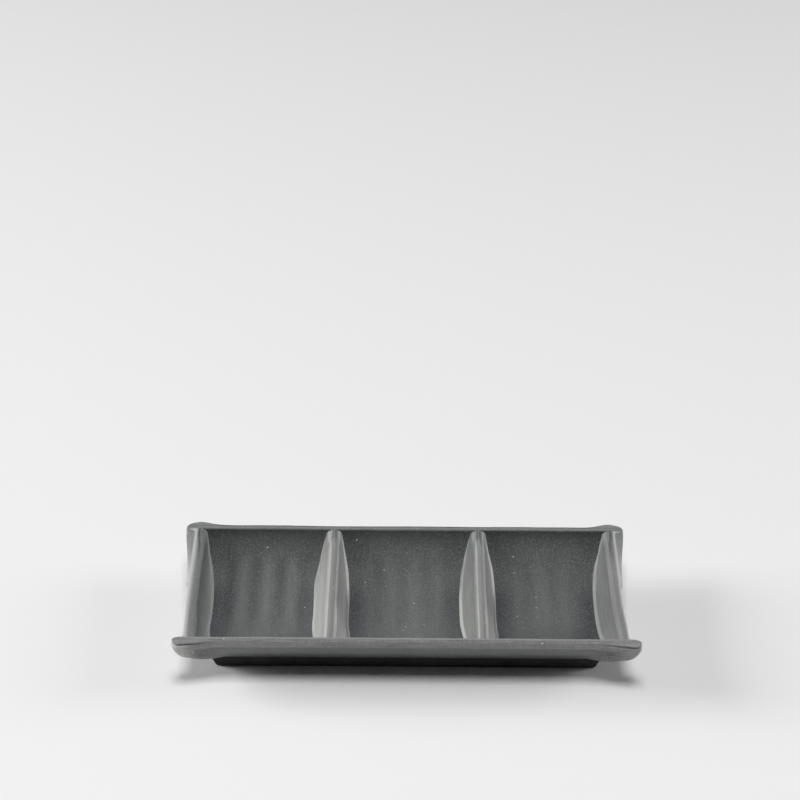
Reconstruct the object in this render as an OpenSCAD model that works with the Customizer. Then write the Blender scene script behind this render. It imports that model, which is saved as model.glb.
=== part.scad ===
// Divided sauce dish: a long curved trough with two cross walls, closed ends,
// a rolled lip, four pulled corner ears and a tapered foot ring.
// X runs along the dish, -Y is the front, Z is up, the table is at Z = 0.

/* [Rim] */
// Length from end lip to end lip, between the ears
rim_length = 203; // [184:1:226]
// Depth from front lip to back lip, between the ears
rim_depth = 95; // [88:1:108]
// Height of the rim above the table
dish_height = 28; // [26:0.5:34]
// Width of the flat top of the front and back rims
rim_width = 3.8; // [3:0.1:5]
// Height of the rolled lip
lip_height = 3.6; // [2.8:0.1:4.6]
// How far the rolled lip stands out from the wall below it
lip_reach = 0.8; // [0.4:0.1:1.2]
// Softened inner edge of the rim
rim_edge = 0.9; // [0.5:0.1:1.2]
// Plan radius of the four corners before the ears are pulled
rim_corner = 4; // [3:0.5:7]

/* [Trough] */
// Depth of the trough below the rim
trough_drop = 17.5; // [15:0.5:19]
// Thickness of the floor at its thinnest
floor_thickness = 3.5; // [2.8:0.1:4.5]
// Squareness of the trough curve, 2 is an ellipse
trough_squareness = 2.2; // [2:0.1:2.6]

/* [Cross walls] */
// Distance between the centres of the two dividers
divider_spacing = 70.6; // [62:0.2:78]
// Flat width of a divider's crest
crest_width = 3.7; // [3:0.1:5]
// How far the crests sit below the rim
crest_drop = 1; // [0.6:0.1:2]
// Width of the rounded shoulder beside a crest
shoulder_width = 1.6; // [1:0.1:2.2]
// Height of the rounded shoulder beside a crest
shoulder_height = 1.6; // [1:0.1:2.2]
// Lean of each flank from upright
flank_lean = 17.4; // [12:0.2:20]

/* [End walls] */
// Distance from the end lip in to the crest of an end wall
end_crest_inset = 1.2; // [0.8:0.1:2.5]
// Flat width of an end wall's crest
end_crest_width = 3.5; // [3:0.1:5]
// How far the outer shoulder falls from the crest to the end lip
end_shoulder_drop = 2; // [1.2:0.1:3]

/* [Ears] */
// How far an ear reaches out past the end lip
ear_reach_x = 5; // [3:0.1:6.5]
// How far an ear reaches out past the front or back lip
ear_reach_y = 2.9; // [1.6:0.1:4]
// Length of an ear's sweep along the front or back rim
ear_sweep_x = 17; // [13:0.5:22]
// Length of a front ear's sweep along the end
ear_sweep_front = 6.2; // [5.4:0.2:8]
// Bluntness of a front ear, 1 is a soft sweep and 4 is a square tab
ear_bluntness = 3; // [1:0.5:4]
// How far the underside of a front ear bulges forward
ear_belly = 4.2; // [0:0.2:5]
// Length of a back ear's sweep along the end
ear_sweep_back = 46; // [36:0.5:47]
// Height of an ear from its rounded underside up to the rim
ear_height = 12; // [10:0.5:13]

/* [Foot] */
// Length of the foot where it stands on the table
foot_length = 177.6; // [156:0.2:180]
// Depth of the foot where it stands on the table
foot_depth = 58.2; // [48:0.2:62]
// How far the foot widens from the table up to the body
foot_flare = 2.2; // [1.4:0.2:4.6]
// Width of the ring that stands on the table
foot_wall = 4.5; // [3.5:0.1:6]
// Plan radius of the foot's corners
foot_corner = 2; // [1.5:0.5:6]
// Softened edge where the foot meets the table
foot_edge = 0.5; // [0.3:0.1:0.8]

/* [Hidden] */

// Plain counts and angles
half_turn = 180;
quarter_turn = 90;
trough_step = 5;
corner_step = 15;

// Margin by which a cutting solid passes the surface that it cuts
cut_margin = rim_width;

// Heights
foot_height = dish_height - trough_drop - floor_thickness;
lip_base = dish_height - lip_height;
crest_top = dish_height - crest_drop;
trough_floor = dish_height - trough_drop;
ear_foot = dish_height - ear_height;

// Half sizes
half_length = rim_length / 2;
half_depth = rim_depth / 2;
wall_half_length = half_length - lip_reach;
wall_half_depth = half_depth - lip_reach;
inner_half_depth = half_depth - rim_width;
foot_top_half_length = foot_length / 2 + foot_flare;
foot_top_half_depth = foot_depth / 2 + foot_flare;
ear_start = half_length - ear_sweep_x;

// Outer wall curve, as shares of its rise and of its reach from the foot out to the lip
wall_shares = [[0, 0], [0.05, 0.05], [0.1, 0.105], [0.184, 0.205], [0.293, 0.355], [0.408, 0.506], [0.529, 0.651],
    [0.678, 0.789], [0.839, 0.905], [0.93, 0.962], [1, 1]];
// Rolled lip, as shares of its height and of its step
lip_shares = [[0.07, 0.5], [0.18, 0.88], [0.34, 1], [0.66, 1], [0.84, 0.78], [0.95, 0.3], [1, -0.35]];
// Where points lie along the end side, as shares of its straight half
end_side_shares = [0, 0.26, 0.44, 0.58, 0.7, 0.78, 0.84, 0.9, 0.95];
// Where points lie along the long side, as shares of the way from the corner back past the ear
long_side_shares = [0.08, 0.18, 0.3, 0.43, 0.57, 0.72, 0.86, 1];
// Rounded shoulder of a crest, as shares of its width and height
shoulder_shares = [[0, 0], [0.32, 0.08], [0.6, 0.26], [0.83, 0.56], [1, 1]];
// Outer shoulder of an end wall, as shares of its width and of its fall
end_shoulder_shares = [[0, 0], [0.3, 0.1], [0.62, 0.36], [0.86, 0.7], [1, 1]];
// Softened inner edge of the rim, as shares of its size
rim_edge_shares = [[1, 0], [0.42, 0.12]];

// Swell of an ear, from 1 at the corner to 0 at the end of its sweep
function ear_swell(gap, sweep, bluntness) =
    gap >= sweep ? 0 : (1 + cos(half_turn * pow(max(0, gap) / sweep, bluntness))) / 2;

// Growth of the ears with height, from 0 at their underside to 1 at the lip
function ear_growth(z) = z >= lip_base ? 1 : z <= foot_height ? 0
    : pow((z - foot_height) / (lip_base - foot_height), 2) * (3 - 2 * (z - foot_height) / (lip_base - foot_height));

// Forward bulge of a front ear's underside at a height
function belly(z) = z >= lip_base ? 0
    : ear_belly * pow(sin(half_turn * (z - foot_height) / (lip_base - foot_height)), 2);

// How far the corners of a front or back quarter are pulled at a height: along the dish, then across it
function front_pull(z) = [ear_growth(z) * ear_reach_x, ear_growth(z) * ear_reach_y + belly(z)];
function back_pull(z) = [ear_growth(z) * ear_reach_x, ear_growth(z) * ear_reach_y];

// One outline point with an ear pulled out of it, which sweeps a given length along the end
function pulled(p, half_x, half_y, pull, sweep, bluntness) =
    p + pull * ear_swell(half_x - p[0], ear_sweep_x, 1) * ear_swell(half_y - p[1], sweep, bluntness);

// A quarter of an outline, from the middle of an end round to the start of a rim
function quarter_outline(half_x, half_y, radius) = [
    for (share = end_side_shares) [half_x, share * (half_y - radius)],
    for (a = [0 : corner_step : quarter_turn])
        [half_x - radius + radius * cos(a), half_y - radius + radius * sin(a)],
    for (share = long_side_shares) [half_x - radius - share * (ear_sweep_x - radius), half_y]
];

// A whole outline at a height, counter-clockwise seen from above
function outline(half_x, half_y, radius, z) =
    let (
        plain = quarter_outline(half_x, half_y, radius),
        back = [for (p = plain) pulled(p, half_x, half_y, back_pull(z), ear_sweep_back, 1)],
        front = [for (p = plain) pulled(p, half_x, half_y, front_pull(z), ear_sweep_front, ear_bluntness)],
        last = len(plain) - 1
    ) [
        for (i = [0 : last]) back[i],
        for (i = [last : -1 : 0]) [-back[i][0], back[i][1]],
        for (i = [1 : last]) [-front[i][0], -front[i][1]],
        for (i = [last : -1 : 1]) [front[i][0], -front[i][1]]
    ];

// A closed solid through a stack of outlines, each given with its height, with a fan of faces at each end
module stacked(outlines, heights) {
    count = len(outlines[0]);
    levels = len(outlines);
    top = levels - 1;
    polyhedron(
        points = concat(
            [for (k = [0 : top]) for (p = outlines[k]) [p[0], p[1], heights[k]]],
            [[0, 0, heights[0]], [0, 0, heights[top]]]
        ),
        faces = [
            for (i = [0 : count - 1]) [i, (i + 1) % count, levels * count],
            for (k = [0 : top - 1]) for (i = [0 : count - 1])
                [k * count + i, (k + 1) * count + i, (k + 1) * count + (i + 1) % count],
            for (k = [0 : top - 1]) for (i = [0 : count - 1])
                [k * count + i, (k + 1) * count + (i + 1) % count, k * count + (i + 1) % count],
            for (i = [0 : count - 1]) [top * count + (i + 1) % count, top * count + i, levels * count + 1]
        ]
    );
}

// Outside of the dish body as one closed block, from the foot up to the rim
module body_block() {
    wall_rise = lip_base - foot_height;
    reach_x = wall_half_length - foot_top_half_length;
    reach_y = wall_half_depth - foot_top_half_depth;
    radius_growth = rim_corner - foot_corner;
    wall_outlines = [for (s = wall_shares)
        outline(foot_top_half_length + reach_x * s[1], foot_top_half_depth + reach_y * s[1],
            foot_corner + radius_growth * s[1], foot_height + wall_rise * s[0])];
    lip_outlines = [for (s = lip_shares)
        outline(wall_half_length + lip_reach * s[1], wall_half_depth + lip_reach * s[1], rim_corner,
            lip_base + lip_height * s[0])];
    wall_heights = [for (s = wall_shares) foot_height + wall_rise * s[0]];
    lip_heights = [for (s = lip_shares) lip_base + lip_height * s[0]];
    stacked(concat(wall_outlines, lip_outlines), concat(wall_heights, lip_heights));
}

// Cross-section of the trough's inside, open upwards past the rim
module trough_section() {
    power = 2 / trough_squareness;
    front_edge = [for (s = rim_edge_shares) [-inner_half_depth - rim_edge * s[0], dish_height - rim_edge * s[1]]];
    back_edge = [for (s = rim_edge_shares) [inner_half_depth + rim_edge * s[0], dish_height - rim_edge * s[1]]];
    curve = [for (a = [trough_step : trough_step : half_turn - trough_step])
        [-sign(cos(a)) * inner_half_depth * pow(abs(cos(a)), power), dish_height - trough_drop * pow(sin(a), power)]];
    polygon(concat(
        [[-inner_half_depth - rim_edge, dish_height + cut_margin]],
        front_edge,
        [[-inner_half_depth, dish_height - rim_edge]],
        curve,
        [[inner_half_depth, dish_height - rim_edge]],
        [for (i = [len(back_edge) - 1 : -1 : 0]) back_edge[i]],
        [[inner_half_depth + rim_edge, dish_height + cut_margin]]
    ));
}

// The space inside the trough, running past both ends
module trough_space() {
    reach = half_length + ear_reach_x + cut_margin;
    translate([-reach, 0, 0])
    rotate([quarter_turn, 0, quarter_turn])
    linear_extrude(height = 2 * reach)
    trough_section();
}

// Body outside of the trough space
module trough_body() {
    difference() {
        body_block();
        trough_space();
    }
}

// Box over one corner, from the ear's underside up, as a cutting solid
module ear_zone(side_x, side_y) {
    reach_x = ear_sweep_x + ear_reach_x + cut_margin;
    reach_y = half_depth + ear_reach_y + ear_belly + cut_margin;
    translate([side_x > 0 ? ear_start : -ear_start - reach_x, side_y > 0 ? 0 : -reach_y, ear_foot])
    cube([reach_x, reach_y, dish_height]);
}

// Box over the front or back lip between the ears, as a cutting solid
module rim_zone(side_y) {
    reach_y = half_depth + ear_reach_y + cut_margin;
    translate([-ear_start, side_y > 0 ? 0 : -reach_y, lip_base])
    cube([2 * ear_start, reach_y, dish_height]);
}

// Profile of a divider across the dish, standing on a level below the trough
module divider_profile() {
    fall = crest_top - foot_height;
    spread = (fall - shoulder_height) * tan(flank_lean);
    right_side = [for (s = shoulder_shares) [crest_width / 2 + shoulder_width * s[0], crest_top - shoulder_height * s[1]]];
    left_side = [for (i = [len(right_side) - 1 : -1 : 0]) [-right_side[i][0], right_side[i][1]]];
    foot_half = crest_width / 2 + shoulder_width + spread;
    polygon(concat(left_side, right_side, [[foot_half, foot_height], [-foot_half, foot_height]]));
}

// Profile of the right end wall across the dish, running out past the end
module end_profile() {
    crest_out = half_length - end_crest_inset;
    crest_in = crest_out - end_crest_width;
    fall = crest_top - foot_height;
    spread = (fall - shoulder_height) * tan(flank_lean);
    reach = half_length + ear_reach_x + cut_margin;
    inner_side = [for (s = shoulder_shares) [crest_in - shoulder_width * s[0], crest_top - shoulder_height * s[1]]];
    outer_side = [for (s = end_shoulder_shares)
        [crest_out + end_crest_inset * s[0], crest_top - end_shoulder_drop * s[1]]];
    polygon(concat(
        [for (i = [len(inner_side) - 1 : -1 : 0]) inner_side[i]],
        outer_side,
        [[reach, crest_top - 2 * end_shoulder_drop], [reach, foot_height],
            [crest_in - shoulder_width - spread, foot_height]]
    ));
}

// A profile across the dish, drawn out from the front past the back
module drawn_front_to_back() {
    translate([0, half_depth, 0])
    rotate([quarter_turn, 0, 0])
    linear_extrude(height = rim_depth)
    children();
}

module tray_shell() {
    color("dimgray")
    difference() {
        trough_body();
        ear_zone(1, 1);
        ear_zone(1, -1);
        ear_zone(-1, 1);
        ear_zone(-1, -1);
        rim_zone(1);
        rim_zone(-1);
    }
}

module rim(side_y) {
    color("slategray")
    intersection() {
        trough_body();
        rim_zone(side_y);
    }
}

module ear(side_x, side_y) {
    color("gray")
    intersection() {
        trough_body();
        ear_zone(side_x, side_y);
    }
}

module end_wall(side_x) {
    color("darkgray")
    intersection() {
        body_block();
        trough_space();
        mirror([side_x > 0 ? 0 : 1, 0, 0])
        drawn_front_to_back()
        end_profile();
    }
}

module divider(side_x) {
    color("silver")
    intersection() {
        trough_space();
        translate([side_x * divider_spacing / 2, 0, 0])
        drawn_front_to_back()
        divider_profile();
    }
}

module front_rim() {
    rim(-1);
}

module back_rim() {
    rim(1);
}

module front_left_ear() {
    ear(-1, -1);
}

module front_right_ear() {
    ear(1, -1);
}

module back_left_ear() {
    ear(-1, 1);
}

module back_right_ear() {
    ear(1, 1);
}

module left_end_wall() {
    end_wall(-1);
}

module right_end_wall() {
    end_wall(1);
}

module left_divider() {
    divider(-1);
}

module right_divider() {
    divider(1);
}

// Rounded rectangle with a corner at every step of its turn, counter-clockwise seen from above
function plain_outline(half_x, half_y, radius) =
    let (
        quarter = [for (a = [0 : corner_step : quarter_turn])
            [half_x - radius + radius * cos(a), half_y - radius + radius * sin(a)]],
        last = len(quarter) - 1
    ) [
        for (i = [0 : last]) quarter[i],
        for (i = [last : -1 : 0]) [-quarter[i][0], quarter[i][1]],
        for (i = [0 : last]) [-quarter[i][0], -quarter[i][1]],
        for (i = [last : -1 : 0]) [quarter[i][0], -quarter[i][1]]
    ];

// Tapered ring with a softened standing edge and an open recess inside
module foot_ring() {
    half_x = foot_length / 2;
    half_y = foot_depth / 2;
    edge_flare = foot_flare * foot_edge / foot_height;
    recess_x = half_x - foot_wall;
    recess_y = half_y - foot_wall;
    recess_corner = foot_corner - foot_edge;
    color("black")
    difference() {
        stacked(
            [plain_outline(half_x - foot_edge, half_y - foot_edge, foot_corner - foot_edge),
                plain_outline(half_x + edge_flare, half_y + edge_flare, foot_corner),
                plain_outline(half_x + foot_flare, half_y + foot_flare, foot_corner)],
            [0, foot_edge, foot_height]
        );
        translate([0, 0, -foot_edge])
        stacked(
            [plain_outline(recess_x + foot_edge, recess_y + foot_edge, recess_corner),
                plain_outline(recess_x - foot_edge, recess_y - foot_edge, recess_corner)],
            [0, foot_height + 2 * foot_edge]
        );
    }
}

tray_shell();
front_rim();
back_rim();
front_left_ear();
front_right_ear();
back_left_ear();
back_right_ear();
left_end_wall();
right_end_wall();
left_divider();
right_divider();
foot_ring();
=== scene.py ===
# %% [markdown]
# # A divided sauce dish in speckled glaze
# The dish is one piece of stoneware: a long curved trough, a rolled lip along the front and the back,
# four corners pulled out into small ears, two cross walls and two end walls that make three
# compartments, and a tapered foot ring. The CAD frame gives its exact size and where each part lies.
# Here each CAD node gets a smoother and richer surface piece in the same place.

# %% Load the CAD frame
import math

import bmesh
import bpy
from mathutils import Matrix, Vector, noise


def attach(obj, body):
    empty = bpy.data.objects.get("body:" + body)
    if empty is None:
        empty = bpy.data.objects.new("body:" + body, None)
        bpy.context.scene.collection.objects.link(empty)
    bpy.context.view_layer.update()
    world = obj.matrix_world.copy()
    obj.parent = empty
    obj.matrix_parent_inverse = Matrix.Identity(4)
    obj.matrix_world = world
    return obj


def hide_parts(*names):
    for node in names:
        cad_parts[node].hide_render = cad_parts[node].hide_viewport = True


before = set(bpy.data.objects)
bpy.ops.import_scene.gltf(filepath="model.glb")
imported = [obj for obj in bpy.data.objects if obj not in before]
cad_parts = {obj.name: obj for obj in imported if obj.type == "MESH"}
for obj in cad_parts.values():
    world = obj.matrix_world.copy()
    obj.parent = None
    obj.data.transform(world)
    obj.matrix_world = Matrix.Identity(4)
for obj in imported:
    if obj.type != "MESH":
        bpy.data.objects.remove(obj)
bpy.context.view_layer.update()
MM = 0.001

# %% [markdown]
# ## Sizes
# The surface pieces follow the same named sizes as the CAD source, so that every piece sits where its
# node sits. All of them are in millimetres, and a mesh is scaled to metres once, when it is finished.
# Every soft change of form or of glaze is made with three helpers: a mix, a soft step and a bell.

# %% Sizes in millimetres
half_length = 101.5
half_depth = 47.5
rim_top = 28.0
lip_base = 24.4
lip_reach = 0.8
rim_width = 3.8
rim_edge = 0.9
rim_corner = 2.2
foot_height = 7.0
trough_drop = 17.5
trough_squareness = 2.2
wall_half_length = half_length - lip_reach
wall_half_depth = half_depth - lip_reach
inner_half_depth = half_depth - rim_width
foot_top_half_length = 91.0
foot_top_half_depth = 31.3
foot_corner = 2.0


def mix(a, b, share):
    return a + (b - a) * share


def ease(value, start=0.0, end=1.0):
    """Soft step: 0 before its start and 1 past its end, which may also lie below the start."""
    share = min(1.0, max(0.0, (value - start) / (end - start)))
    return share * share * (3 - 2 * share)


def bell(value, middle, width):
    """1 in the middle, falling to about a third one width away from it."""
    return math.exp(-(((value - middle) / width) ** 2))


print("Dish without its ears:", 2 * half_length, "by", 2 * half_depth, "by", rim_top, "mm")

# %% [markdown]
# ## The outline and the lip
# The outside of the dish is a rounded rectangle that grows from the foot up to the lip, with walls
# that belly out a little on the way. The lip is rolled: it stands out of the wall, has a fine fold
# below its top, and turns in again at the top.
#
# A place round the outline is given by its turn, which runs from 0 at the middle of an end, through
# 1 to 2 round the corner, to 3 at the middle of a long side.

# %% Outline and lip
tip_turn = 1.5
wall_belly = 0.123
roll_end = 0.36
turn_in_start = 0.66
round_over_at_top = 1.35
lip_fold = 0.15
fold_place = 0.74
fold_width = 0.09


def outline_point(turn, half_x, half_y, radius):
    """(x, y) on a quarter of a rounded rectangle."""
    if turn <= 1:
        return half_x, turn * (half_y - radius)
    if turn <= 2:
        angle = (turn - 1) * math.pi / 2
        return half_x - radius + radius * math.cos(angle), half_y - radius + radius * math.sin(angle)
    return (3 - turn) * (half_x - radius), half_y


def skin_sizes(z):
    """Half length, half depth and corner radius of the skin at a height, without lip and ears."""
    rise = min(1.0, max(0.0, (z - foot_height) / (lip_base - foot_height)))
    reach = rise + wall_belly * math.sin(math.pi * rise ** 1.4)
    return (
        mix(foot_top_half_length, wall_half_length, reach),
        mix(foot_top_half_depth, wall_half_depth, reach),
        mix(foot_corner, rim_corner, reach),
    )


def lip_stand_out(z, fold, under, round_over):
    """How far the rolled lip stands out of the wall at a height.

    fold is the depth of the fold, under is how much of the roll is there below the lip, and
    round_over is how far the top turns in again.
    """
    share = (z - lip_base) / (rim_top - lip_base)
    if share <= 0:
        return lip_reach * under
    lower = max(under, 1 - max(0.0, 1 - share / roll_end) ** 3)
    upper = round_over * max(0.0, (share - turn_in_start) / (1 - turn_in_start)) ** 3
    return lip_reach * (lower - upper) - fold * bell(share, fold_place, fold_width)


print("Lip stands out by", round(lip_stand_out(26.0, 0.0, 0.0, round_over_at_top), 2), "mm")

# %% [markdown]
# ## The ears and the whole skin
# The potter draws each corner out between finger and thumb. A front ear is a short blunt tab with a
# belly below it and a deep fold under its lip. A back ear is drawn out in a long taper that runs along
# the whole end. Both are a pull of the skin, which fades with the gap from the corner.
#
# One function gives the point of the skin at any height and turn. Every piece that touches the
# outside asks it, so the pieces stay flush with each other without any fitting.

# %% Ears and skin
ear_reach_x = 5.0
ear_reach_front = 2.9
ear_reach_back = 2.7
ear_reach_end = 4.0
ear_sweep_x = 17.0
ear_sweep_front = 3.1
ear_sweep_back = 66.0
ear_bluntness = 5.0
ear_belly = 2.9
# Gap from the corner and width of the belly and of the back ear's bulge
belly_place = (7.0, 5.5)
bulge_place = (5.5, 4.6)
ear_start = half_length - ear_sweep_x
ear_foot = 16.0


def ear_swell(gap, sweep, bluntness=1.0):
    """1 at the corner, falling to 0 at the end of the ear's sweep."""
    if gap >= sweep:
        return 0.0
    return (1 + math.cos(math.pi * (max(0.0, gap) / sweep) ** bluntness)) / 2


def back_ear(gap_x, gap_y, rise):
    """Pull of the skin along x and y near a back ear, and the shape of its lip."""
    swell = ear_swell(gap_x, ear_sweep_x) * max(0.0, 1 - gap_y / ear_sweep_back) ** 1.15
    growth = swell * ease(rise)
    bulge = bell(gap_x, *bulge_place) / max(0.05, swell)
    return ear_reach_end * growth, ear_reach_back * growth * bulge, (lip_fold, 0.0, round_over_at_top)


def front_ear(gap_x, gap_y, rise, z):
    """The same near a front ear, which has a belly below its tab and a deeper fold."""
    along = ear_swell(gap_x, ear_sweep_x)
    swell = along * ear_swell(gap_y, ear_sweep_front, ear_bluntness)
    along *= max(0.0, 1 - gap_y / ear_sweep_front)
    belly = ear_belly * bell(gap_x, *belly_place) / max(0.3, along)
    pull_x = ear_reach_x * ease(z, 10.8, 17.8) * swell
    pull_y = (ear_reach_front * ease(rise) + belly * math.sin(math.pi * max(0.0, rise)) ** 2) * along
    lip_shape = (lip_fold + 1.15 * swell, swell * ease(z, 11.0, 20.0), round_over_at_top - 0.7 * swell)
    return pull_x, pull_y, lip_shape


def skin(turn, z, side, bead=1.0):
    """(x, y) of the skin, both counted as positive, in the front (side -1) or back (side 1) quarter.

    bead is how much of the lip's stand-out the point has.
    """
    half_x, half_y, radius = skin_sizes(z)
    x, y = outline_point(turn, half_x, half_y, radius)
    rise = min(1.0, (z - foot_height) / (lip_base - foot_height))
    if side > 0:
        pull_x, pull_y, lip_shape = back_ear(half_x - x, half_y - y, rise)
    else:
        pull_x, pull_y, lip_shape = front_ear(half_x - x, half_y - y, rise, z)
    stand_out = bead * lip_stand_out(z, *lip_shape)
    angle = math.pi / 2 * min(1.0, max(0.0, turn - 1))
    return x + stand_out * math.cos(angle) + pull_x, y + stand_out * math.sin(angle) + pull_y


def turn_at(y, z, side, bead=1.0):
    """The turn at which the skin passes a given distance from the middle line, found by halving."""
    halvings = 40
    low, high = 0.0, 2.0
    for _ in range(halvings):
        middle = (low + high) / 2
        if skin(middle, z, side, bead)[1] < y:
            low = middle
        else:
            high = middle
    return (low + high) / 2


def skin_end(y, z, bead=1.0):
    """How far out the end of the dish is at a distance from the middle line and a height."""
    side = 1 if y > 0 else -1
    return skin(turn_at(abs(y), z, side, bead), z, side, bead)[0]


print("Front ear tip at", [round(v, 2) for v in skin(tip_turn, 26.0, -1)], "mm")

# %% [markdown]
# ## The trough's section
# The inside of the trough is nearly an ellipse. Its rows run from the front rim down through the floor
# and up to the back rim. They lie closer together where the curve is tight, and the first and last
# rows round off the inner edge of the rim, where glaze runs thin and catches the light.

# %% Rows of the trough
first_angle = math.radians(2.35)
row_count = 88
edge_steps = 5


def trough_point(angle):
    """(y, z) of the trough's curve, by an angle that runs from 0 at the front rim to pi at the back."""
    power = 2 / trough_squareness
    across = math.cos(angle)
    y = -math.copysign(abs(across) ** power, across) * inner_half_depth
    return y, rim_top - trough_drop * math.sin(angle) ** power


def trough_height(y):
    """Height of the trough's curve at a distance from the middle line."""
    share = min(1.0, abs(y) / inner_half_depth)
    return rim_top - trough_drop * (1 - share ** trough_squareness) ** (1 / trough_squareness)


inner_rows = []
for i in range(row_count + 1):
    inner_rows.append(trough_point(mix(first_angle, math.pi - first_angle, i / row_count)))
edge_y, edge_z = inner_rows[0]
edge_rows = []
for i in range(edge_steps):
    angle = math.pi / 2 * i / edge_steps
    y = edge_y - rim_edge * (1 - math.sin(angle))
    edge_rows.append((y, edge_z + (rim_top - edge_z) * math.cos(angle)))
trough_rows = edge_rows + inner_rows + [(-y, z) for y, z in reversed(edge_rows)]
rim_inner = -edge_rows[0][0]
rounding_foot = edge_rows[-1][1]


def distance_to_trough(y, z):
    """Shortest distance from a point to the trough's curve. Stretches over 6 mm away are passed over."""
    far = 6.0
    best = math.inf
    for (y0, z0), (y1, z1) in zip(inner_rows, inner_rows[1:]):
        if abs(y0 - y) > far and abs(z0 - z) > far:
            continue
        dy, dz = y1 - y0, z1 - z0
        share = max(0.0, min(1.0, ((y - y0) * dy + (z - z0) * dz) / (dy * dy + dz * dz)))
        best = min(best, math.hypot(y - y0 - share * dy, z - z0 - share * dz))
    return best


print("Trough rows:", len(trough_rows), "floor at", round(min(z for y, z in trough_rows), 2), "mm")

# %% [markdown]
# ## Hand unevenness
# Stoneware is never quite true: it moves while it dries and while it is fired. One field of smooth noise
# moves every piece by up to three tenths of a millimetre. Because all pieces use the same field, those
# that touch still touch. It fades out at the foot, which is ground flat. The field also lets the two
# ends lean out by one to two millimetres, the left one more than the right one. The noise has a fixed
# seed, so that the dish comes out the same each time.
#
# The trough also shows soft flutes from front to back, strongest in the left compartment. They are
# a relief of about a tenth of a millimetre in the mesh, which is enough to bend a reflection.

# %% Unevenness and flutes
noise_seed = 3
left_lean_front, left_lean_back = 1.2, 1.9
right_lean_corner, right_lean_front, right_lean_back = 0.7, 1.3, 0.3
# Start and end of the flutes along x, their height, their spacing and the place of one ridge
flute_sets = [
    (-92.0, -44.0, 0.13, 12.0, -78.6),
    (-24.0, 24.0, 0.05, 11.5, -19.0),
    (47.0, 82.0, 0.05, 12.5, 52.0),
]

noise.seed_set(noise_seed)


def end_shift(point):
    """How far an end leans out along x at a point."""
    front = ease(point.y, -47.0, -40.0)
    back = ease(point.y, -42.0, -12.0)
    reach = ease(abs(point.x), 86.0, 94.0) * ease(point.z, 8.0, 16.0)
    if point.x < 0:
        return -mix(left_lean_front, left_lean_back, back) * front * reach
    return mix(right_lean_corner, mix(right_lean_front, right_lean_back, back), front) * reach


def uneven(point):
    """A point of the dish, moved a little as clay moves in the kiln."""
    fade = ease(point.z, 1.0, 7.0)
    drift = noise.noise_vector(point / 34.0 + Vector((3.1, 7.7, 1.9)))
    ripple = noise.noise_vector(point / 11.0 + Vector((9.4, 2.3, 5.2)))
    return point + (drift * 0.22 + ripple * 0.07) * fade + Vector((end_shift(point), 0, 0))


def flute_depth(x, y):
    """Relief of the trough's floor: soft flutes that run from front to back."""
    edge = 9.0
    depth = 0.0
    for start, end, size, spacing, ridge in flute_sets:
        window = ease(x, start, start + edge) * ease(x, end, end - edge)
        depth += size * window * math.cos(2 * math.pi * (x - ridge) / spacing)
    return depth * ease(y, -34.0, 8.0) * ease(y, 41.0, 27.0)


print("Flutes in", len(flute_sets), "compartments")

# %% [markdown]
# ## How thick the glaze lies
# Molten glaze runs. It drains off crests, edges and lips, where the pale clay then shows through. So each
# point of a piece carries a number that the glaze's material reads: near 1 where hardly any glaze is left,
# and below 0 in painted shade. The same number carries painted light and shade: faces turned to the lights
# are painted paler, edges, toes and the shoulders of the domes carry painted highlights, and painted shade
# darkens the trough along the toe of each wall, below the back lip and at the front right, and the creases of
# the rim.

# %% How thick the glaze lies, with painted light and shade
lip_flat = 0.3
shade_reach = 9.5
# Painted shade along the walls: place of a wall's toe along x, direction of the shade, lean of the wall and
# strength of the shade
painted_shade_strips = [
    (-95.2, 1, 0.18, 0.25),
    (-37.9, -1, 0.37, 0.14),
    (-32.0, 1, 0.28, 0.27),
    (32.0, -1, 0.37, 0.21),
    (37.9, 1, 0.28, 0.28),
    (95.2, -1, 0.31, 0.26),
]


def painted_trough_shade(x, y):
    """Painted shade in the trough: along the toes of the walls, below the back lip and at the front right."""
    drop = max(0.0, 25.4 - trough_height(y))
    # Painted shade below the back lip and at the front right of the trough.
    at_back = ease(y, 12.0, 34.0)
    front_right = ease(x, 48.0, 66.0) * ease(y, -4.0, -22.0)
    painted_shade = 0.045 * at_back + 0.1 * front_right
    for toe, direction, lean, strength in painted_shade_strips:
        gap = (x - toe) * direction - drop * lean
        if gap > -3:
            fade = 1 - 0.75 * ease(y, 6.0, 30.0)
            painted_shade += strength * fade * math.exp(-((max(0.0, gap - 2.0) / shade_reach) ** 1.8))
    return painted_shade


def rim_wave(x):
    """The slow wave that the furrow of the rim and its painted shade share."""
    return noise.noise(Vector((x / 13.0, 4.0, 2.0)))


def rim_glaze_light_and_shade(point):
    """The lip: thin glaze with painted light, paler at the front than at the back, and painted shade in a
    broken dark line along the furrow near its outer edge and in the fold near the ears.
    """
    # Painted light: the front lip is paler than the back one, and the faces below the flat top are paler than
    # the top.
    level = 0.15 if point.y > 0 else 0.25
    level += 0.1 * ease(point.z, rim_top - lip_flat, rim_top - 1.3)
    # Painted shade in the fold near the ears.
    level -= 0.3 * bell(point.z, 27.05, 0.4) * ease(abs(point.x), ear_start, ear_start + 8.0)
    # Painted shade: a broken dark line along the furrow near the outer edge.
    if point.z > rim_top - lip_flat:
        broken = 0.6 + 0.8 * noise.noise(Vector((point.x / 9.0, 1.0, 8.0)))
        level -= 0.24 * broken * bell(abs(point.y), half_depth - 1.5 + 0.5 * rim_wave(point.x), 0.6)
    return level


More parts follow.
